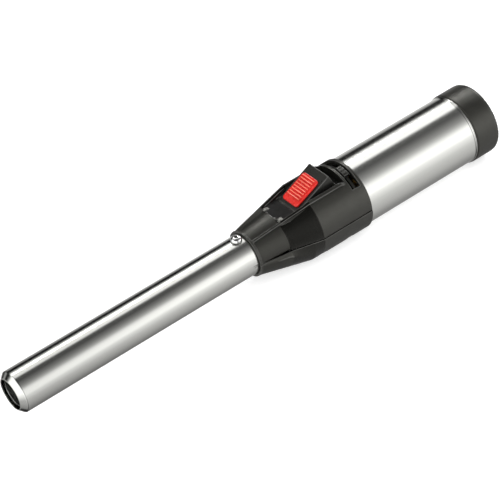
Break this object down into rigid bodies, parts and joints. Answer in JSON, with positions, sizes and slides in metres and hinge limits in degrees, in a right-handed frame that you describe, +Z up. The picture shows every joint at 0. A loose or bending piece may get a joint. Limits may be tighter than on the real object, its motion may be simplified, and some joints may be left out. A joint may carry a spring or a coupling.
{
  "type": "butane torch",
  "caption": "Hand-held butane torch: slim steel barrel, black plastic body with a ribbed thumb trigger and a flame adjuster, steel handle tube and end cap.",
  "frame": {"origin": "centre of the footprint: the torch lies on its belly with the trigger up", "axes": "X along the barrel's axis from the nozzle at -X to the end cap at +X, Z up towards the trigger"},
  "size_m": [0.25, 0.0338, 0.0374],
  "materials": {
    "black_plastic": "satin black moulded plastic",
    "lever_plastic": "smooth black moulded plastic",
    "red_plastic": "red moulded plastic",
    "brushed_steel": "satin stainless steel",
    "plated_screw": "plated steel",
    "die_cast_zinc": "die-cast zinc alloy",
    "brass": "turned brass",
    "copper": "drawn copper tube",
    "ceramic": "off-white ceramic or acetal",
    "wire_sleeve": "insulated wire",
    "seal_rubber": "black rubber",
    "tank_plastic": "natural moulded plastic"
  },
  "bodies": {
    "torch": {"upper_shell": "black_plastic", "lower_shell": "black_plastic", "end_cap": "black_plastic", "piezo_body": "black_plastic", "barrel_tube": "brushed_steel", "handle_tube": "brushed_steel", "burner_tube": "brushed_steel", "burner_spacer_front": "brushed_steel", "burner_spacer_rear": "brushed_steel", "electrode": "brushed_steel", "trigger_pin": "brushed_steel", "trigger_spring": "brushed_steel", "refill_spring": "brushed_steel", "barrel_screw_top": "plated_screw", "barrel_screw_bottom": "plated_screw", "shell_screw_1": "plated_screw", "shell_screw_2": "plated_screw", "shell_screw_3": "plated_screw", "shell_screw_4": "plated_screw", "barrel_bush": "die_cast_zinc", "flame_holder": "die_cast_zinc", "mixing_tube": "brass", "gas_jet": "brass", "valve_body": "brass", "refill_valve_body": "brass", "gas_tube": "copper", "electrode_insulator": "ceramic", "ignition_wire": "wire_sleeve", "valve_seal": "seal_rubber", "refill_seal": "seal_rubber", "fuel_tank": "tank_plastic"},
    "trigger": {"trigger_lever": "lever_plastic", "trigger_pad": "red_plastic"},
    "plunger": {"piezo_plunger": "ceramic"},
    "valve_rod": {"valve_link": "brushed_steel", "valve_stem": "brass"},
    "adjuster": {"flame_adjuster": "lever_plastic", "valve_regulator": "brass"},
    "refill": {"refill_stem": "brass"}
  },
  "joints": [
    {"name": "trigger_press", "type": "hinge", "parent": "torch", "child": "trigger", "pos_m": [0.0195, 0, 0.0244], "axis": [0, 1, 0], "range_deg": [0, 13], "stiffness_Nm_per_rad": 1, "springref_deg": -5.73, "deforming": ["trigger_spring"]},
    {"name": "plunger_slide", "type": "slide", "parent": "torch", "child": "plunger", "axis": [0, 0, -1], "range_m": [0, 0.0031]},
    {"name": "valve_pull", "type": "slide", "parent": "torch", "child": "valve_rod", "axis": [-1, 0, 0], "range_m": [0, 0.0018]},
    {"name": "adjuster_turn", "type": "hinge", "parent": "torch", "child": "adjuster", "pos_m": [0.0475, 0, 0.0166], "axis": [1, 0, 0], "range_deg": [-43, 23]},
    {"name": "refill_press", "type": "slide", "parent": "torch", "child": "refill", "axis": [-1, 0, 0], "range_m": [0, 0.0012], "stiffness_N_per_m": 1000, "springref_m": -0.0005, "deforming": ["refill_spring"]}
  ],
  "couplings": [
    {"joint": "plunger_slide", "follows": "trigger_press", "m_per_rad": 0.0136},
    {"joint": "valve_pull", "follows": "trigger_press", "m_per_rad": 0.00775}
  ]
}
